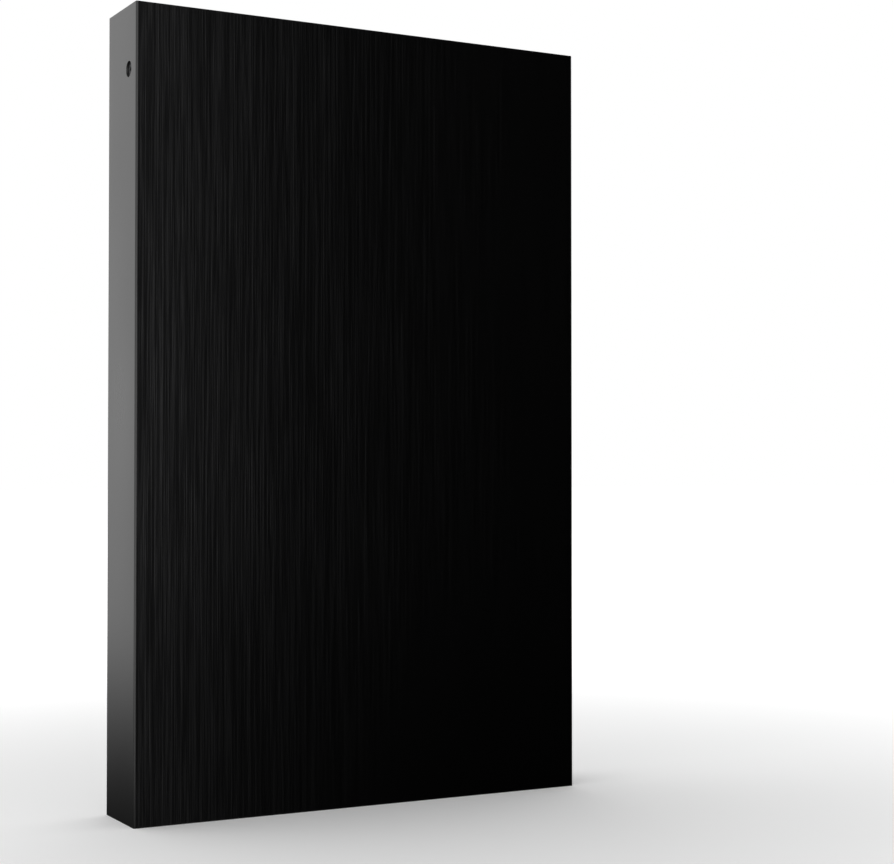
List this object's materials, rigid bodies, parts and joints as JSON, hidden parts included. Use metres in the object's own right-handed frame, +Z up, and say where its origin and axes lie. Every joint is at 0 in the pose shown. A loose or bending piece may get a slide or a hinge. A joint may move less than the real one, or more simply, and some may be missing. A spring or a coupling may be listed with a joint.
{
  "type": "portable hard drive",
  "caption": "Slim rectangular portable hard drive: a brushed aluminium sleeve screwed round a moulded tray that carries the disk drive, its bridge board and the data port.",
  "frame": {"origin": "centre of the sleeve's lower rim, on the surface that the drive stands on", "axes": "+Z up along the length towards the port end, -Y out of the brushed front, +X across the width"},
  "size_m": [0.075, 0.0126, 0.12],
  "materials": {
    "black_aluminium": "black anodised, brushed along the length",
    "case_plastic": "fine matte black",
    "black_screws": "black zinc",
    "plated_screws": "bright nickel plating",
    "foam": "open-cell foam",
    "black_rubber": "matte",
    "cast_aluminium": "die cast",
    "turned_aluminium": "turned and polished",
    "stamped_steel": "rolled and stamped",
    "glass_platter": "polished and coated",
    "bearing_steel": "ground",
    "lamination_steel": "blued laminations",
    "magnet": "nickel plated",
    "copper_wire": "enamelled",
    "gold_contacts": "gold flash",
    "connector_plastic": "moulded black",
    "ramp_plastic": "moulded off-white",
    "drive_board_laminate": "green solder mask",
    "bridge_board_laminate": "blue solder mask",
    "chip_resin": "moulded",
    "ceramic": "fired",
    "slider_ceramic": "lapped",
    "ferrite": "pressed and fired",
    "flex_film": "polyimide film",
    "filter_cloth": "non-woven",
    "lamp_resin": "clear over phosphor",
    "pipe_resin": "clear moulded"
  },
  "bodies": {
    "enclosure": {"sleeve": "black_aluminium", "tray": "case_plastic", "port_panel": "case_plastic", "sleeve_screws": "black_screws", "foam_pad": "foam", "end_bumper": "black_rubber", "drive_base": "cast_aluminium", "cover_gasket": "black_rubber", "drive_cover": "stamped_steel", "cover_screws": "plated_screws", "drive_board": "drive_board_laminate", "drive_board_screws": "plated_screws", "controller_chip": "chip_resin", "motor_driver_chip": "chip_resin", "memory_chip": "chip_resin", "drive_plug": "connector_plastic", "drive_plug_contacts": "gold_contacts", "drive_socket": "connector_plastic", "drive_socket_contacts": "gold_contacts", "bearing_sleeve": "bearing_steel", "stator_core": "lamination_steel", "stator_coils": "copper_wire", "pivot_shaft": "bearing_steel", "lower_yoke": "stamped_steel", "voice_coil_magnet": "magnet", "upper_yoke": "stamped_steel", "crash_stops": "black_rubber", "head_ramp": "ramp_plastic", "ramp_screw": "plated_screws", "flex_bracket": "connector_plastic", "flex_ribbon": "flex_film", "recirculation_filter": "filter_cloth", "breather_filter": "filter_cloth", "bridge_board": "bridge_board_laminate", "board_screws": "plated_screws", "bridge_chip": "chip_resin", "crystal": "stamped_steel", "inductor": "ferrite", "capacitors": "ceramic", "port_jacket": "stamped_steel", "port_insulator": "connector_plastic", "port_contacts": "gold_contacts", "status_lamp": "lamp_resin", "light_pipe": "pipe_resin"},
    "spindle": {"spindle_hub": "turned_aluminium", "rotor_magnet": "magnet", "platter": "glass_platter", "disk_clamp": "turned_aluminium", "clamp_screw": "plated_screws"},
    "actuator": {"actuator_block": "turned_aluminium", "pivot_bearing": "bearing_steel", "voice_coil": "copper_wire", "coil_holder": "ramp_plastic", "suspensions": "stamped_steel", "sliders": "slider_ceramic"}
  },
  "joints": [
    {"name": "spindle_spin", "type": "hinge", "parent": "enclosure", "child": "spindle", "pos_m": [0, -0.0006, 0.03782], "axis": [0, -1, 0], "continuous": true},
    {"name": "actuator_swing", "type": "hinge", "parent": "enclosure", "child": "actuator", "pos_m": [0.00402, -0.0006, 0.07611], "axis": [0, -1, 0], "range_deg": [0, 34.49]}
  ]
}
